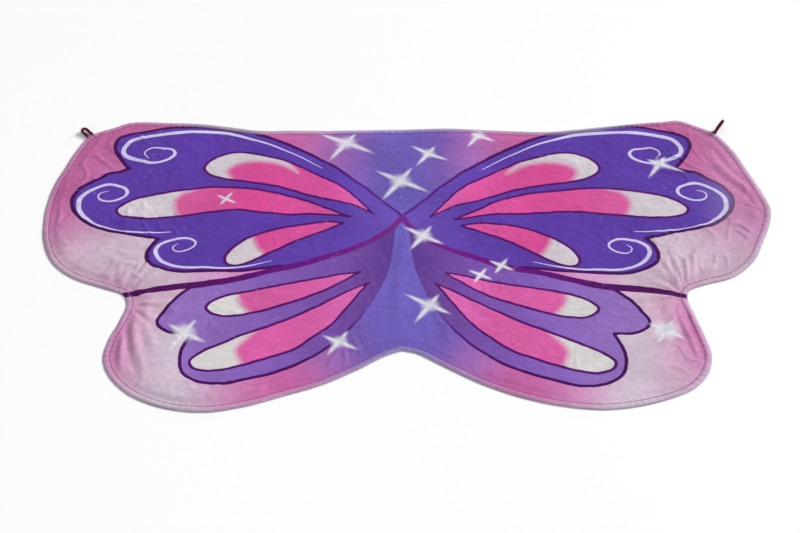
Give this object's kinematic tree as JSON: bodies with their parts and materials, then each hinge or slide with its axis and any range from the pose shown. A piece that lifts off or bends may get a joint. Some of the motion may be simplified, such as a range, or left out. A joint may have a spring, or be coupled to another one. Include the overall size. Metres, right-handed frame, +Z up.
{
  "type": "fairy wings",
  "caption": "Soft butterfly-wing cape of printed cloth over a thin lining, topstitched round its scalloped edge, with elastic finger loops and shoulder straps.",
  "frame": {"origin": "middle of the bottom of the box of the wings as they lie open, print upwards; the spine of the print lies 10 mm to the left of it", "axes": "+X along the span towards the right wing, +Y from the hem towards the neck edge, +Z up out of the print"},
  "size_m": [1.1925, 0.6814, 0.0192],
  "materials": {
    "printed_cloth": "short-nap polyester printed with a butterfly-wing pattern in violet, lavender, magenta, pink and off-white",
    "lining_cloth": "thin smooth woven polyester, greyish lilac",
    "sewing_thread": "polyester thread, mauve",
    "loop_elastic": "braided round elastic, dark maroon",
    "strap_elastic": "flat ribbed elastic, dark maroon",
    "label_cloth": "blank white woven tape"
  },
  "bodies": {
    "back": {"back_print": "printed_cloth", "back_lining": "lining_cloth", "neck_topstitch": "sewing_thread", "hem_topstitch": "sewing_thread", "left_strap_top_tack": "strap_elastic", "left_strap_bottom_tack": "strap_elastic", "right_strap_top_tack": "strap_elastic", "right_strap_bottom_tack": "strap_elastic", "care_label": "label_cloth"},
    "left_wing": {"left_wing_print": "printed_cloth", "left_wing_lining": "lining_cloth", "left_wing_topstitch": "sewing_thread", "left_loop_tack": "sewing_thread"},
    "right_wing": {"right_wing_print": "printed_cloth", "right_wing_lining": "lining_cloth", "right_wing_topstitch": "sewing_thread", "right_loop_tack": "sewing_thread"},
    "left_shoulder_strap": {"left_shoulder_strap": "strap_elastic"},
    "right_shoulder_strap": {"right_shoulder_strap": "strap_elastic"},
    "left_finger_loop": {"left_finger_loop": "loop_elastic"},
    "right_finger_loop": {"right_finger_loop": "loop_elastic"}
  },
  "joints": [
    {"name": "left_wing_fold", "type": "hinge", "parent": "back", "child": "left_wing", "pos_m": [-0.12, 0, 0.003], "axis": [0, 1, 0], "range_deg": [0, 95]},
    {"name": "right_wing_fold", "type": "hinge", "parent": "back", "child": "right_wing", "pos_m": [0.1, 0, 0.003], "axis": [0, -1, 0], "range_deg": [0, 95]},
    {"name": "left_strap_swing", "type": "hinge", "parent": "back", "child": "left_shoulder_strap", "pos_m": [-0.07, 0.181, 0.0002], "axis": [0, -1, 0], "range_deg": [0, 90]},
    {"name": "right_strap_swing", "type": "hinge", "parent": "back", "child": "right_shoulder_strap", "pos_m": [0.05, 0.181, 0.0002], "axis": [0, 1, 0], "range_deg": [0, 90]},
    {"name": "left_loop_swing", "type": "hinge", "parent": "left_wing", "child": "left_finger_loop", "pos_m": [-0.54883, 0.30183, 0.0023], "axis": [0.7071, 0.7071, 0], "range_deg": [0, 125], "stiffness_Nm_per_rad": 0.001},
    {"name": "right_loop_swing", "type": "hinge", "parent": "right_wing", "child": "right_finger_loop", "pos_m": [0.53083, 0.30683, 0.0039], "axis": [0.7071, -0.7071, 0], "range_deg": [-20, 100], "stiffness_Nm_per_rad": 0.001}
  ]
}
